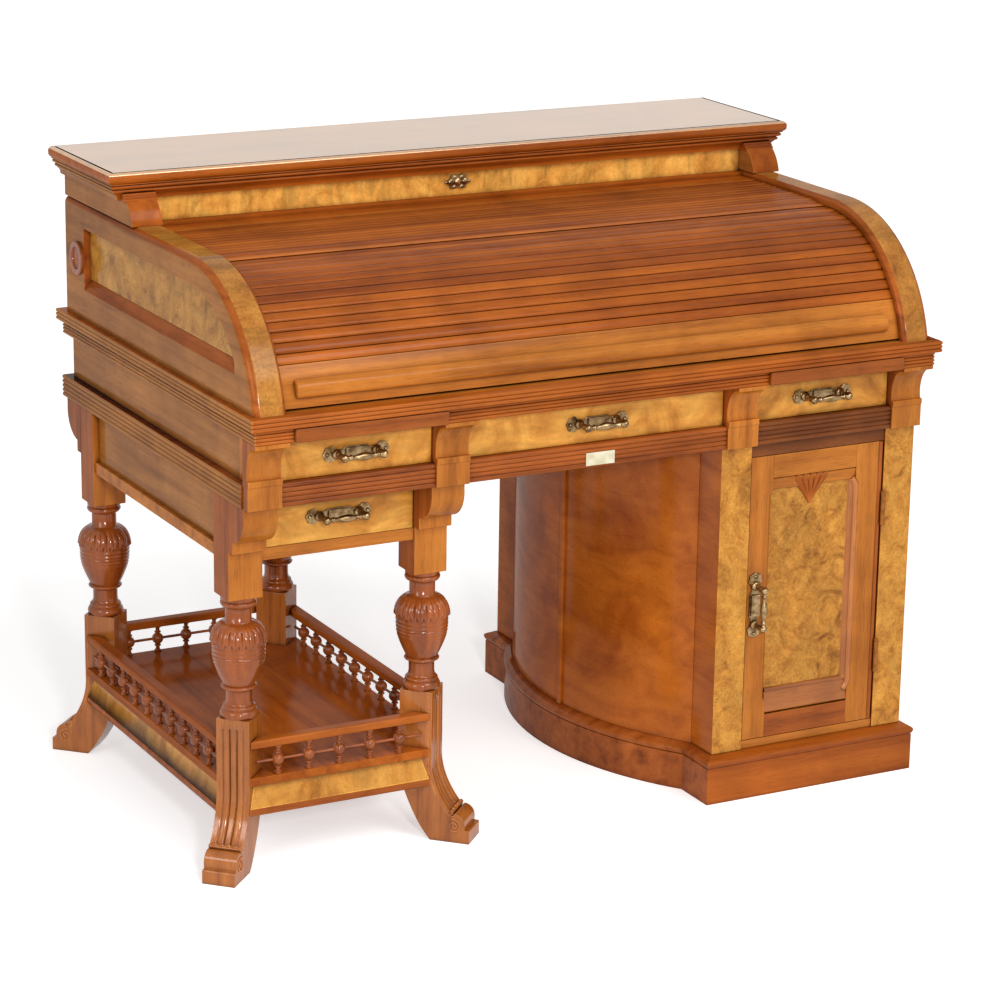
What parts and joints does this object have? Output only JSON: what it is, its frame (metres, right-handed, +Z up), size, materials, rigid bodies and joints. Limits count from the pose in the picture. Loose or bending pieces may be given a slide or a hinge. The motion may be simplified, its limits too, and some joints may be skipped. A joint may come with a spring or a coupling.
{
  "type": "roll-top desk",
  "caption": "Walnut roll-top writing desk with a rolling tambour curtain, drawers, pull-out slides, an open gallery pedestal on turned legs and a bow-sided cupboard pedestal.",
  "frame": {"origin": "bottom centre of the whole desk's box, on the floor", "axes": "+X to the sitter's right, -Y towards the sitter, +Z up"},
  "size_m": [1.354, 0.85, 1.0865],
  "materials": {
    "walnut": "french polished walnut",
    "dark_walnut": "dark polished walnut",
    "burr_veneer": "polished burr veneer",
    "lining_wood": "waxed plain wood",
    "brass": "aged cast brass",
    "leather": "waxed hide",
    "canvas": "plain woven canvas"
  },
  "bodies": {
    "desk": {"writing_board": "walnut", "case_frame": "walnut", "slide_runners": "walnut", "upper_corbels": "walnut", "pedestal_posts": "walnut", "pedestal_brackets": "walnut", "pedestal_rails": "walnut", "pedestal_panels": "walnut", "splayed_legs": "walnut", "gallery_rails": "walnut", "gallery_shelf": "walnut", "plinth": "walnut", "bowed_side": "walnut", "cupboard_walls": "walnut", "right_roll_end": "walnut", "left_roll_end": "walnut", "roll_back": "walnut", "roll_top_board": "walnut", "frieze_ends": "walnut", "cornice": "walnut", "top_board": "walnut", "writing_moulding": "dark_walnut", "lower_moulding": "dark_walnut", "urn_balusters": "dark_walnut", "gallery_spindles": "dark_walnut", "roundels": "dark_walnut", "gallery_aprons": "burr_veneer", "corner_posts": "burr_veneer", "roll_end_fields": "burr_veneer", "frieze_panel": "burr_veneer", "case_boards": "lining_wood", "cupboard_decks": "lining_wood", "cupboard_shelf": "lining_wood", "stationery_rack": "lining_wood", "hinges": "brass", "roll_lock": "brass", "writing_leather": "leather"},
    "tambour": {"tambour_slats": "walnut", "tambour_lift_rail": "walnut", "tambour_lift_bead": "walnut", "tambour_canvas": "canvas"},
    "left_drawer": {"left_drawer_front": "burr_veneer", "left_drawer_box": "lining_wood", "left_drawer_handle": "brass"},
    "centre_drawer": {"centre_drawer_front": "burr_veneer", "centre_drawer_box": "lining_wood", "centre_drawer_handle": "brass"},
    "right_drawer": {"right_drawer_front": "burr_veneer", "right_drawer_box": "lining_wood", "right_drawer_handle": "brass"},
    "low_drawer": {"low_drawer_front": "burr_veneer", "low_drawer_box": "lining_wood", "low_drawer_handle": "brass"},
    "left_slide": {"left_writing_slide": "walnut"},
    "right_slide": {"right_writing_slide": "walnut"},
    "door": {"door_frame": "walnut", "door_field": "burr_veneer", "door_fan": "walnut", "door_handle": "brass", "hinge_leaves": "brass"}
  },
  "joints": [
    {"name": "tambour_roll", "type": "hinge", "parent": "desk", "child": "tambour", "pos_m": [0.01602, -0.157, 0.744], "axis": [-1, 0, 0], "range_deg": [0, 64]},
    {"name": "left_drawer_pull", "type": "slide", "parent": "desk", "child": "left_drawer", "axis": [0, -1, 0], "range_m": [0, 0.42]},
    {"name": "centre_drawer_pull", "type": "slide", "parent": "desk", "child": "centre_drawer", "axis": [0, -1, 0], "range_m": [0, 0.42]},
    {"name": "right_drawer_pull", "type": "slide", "parent": "desk", "child": "right_drawer", "axis": [0, -1, 0], "range_m": [0, 0.42]},
    {"name": "low_drawer_pull", "type": "slide", "parent": "desk", "child": "low_drawer", "axis": [0, -1, 0], "range_m": [0, 0.37]},
    {"name": "left_slide_pull", "type": "slide", "parent": "desk", "child": "left_slide", "axis": [0, -1, 0], "range_m": [0, 0.3]},
    {"name": "right_slide_pull", "type": "slide", "parent": "desk", "child": "right_slide", "axis": [0, -1, 0], "range_m": [0, 0.3]},
    {"name": "door_swing", "type": "hinge", "parent": "desk", "child": "door", "pos_m": [0.59002, -0.3725, 0.356], "axis": [0, 0, 1], "range_deg": [0, 100]}
  ]
}
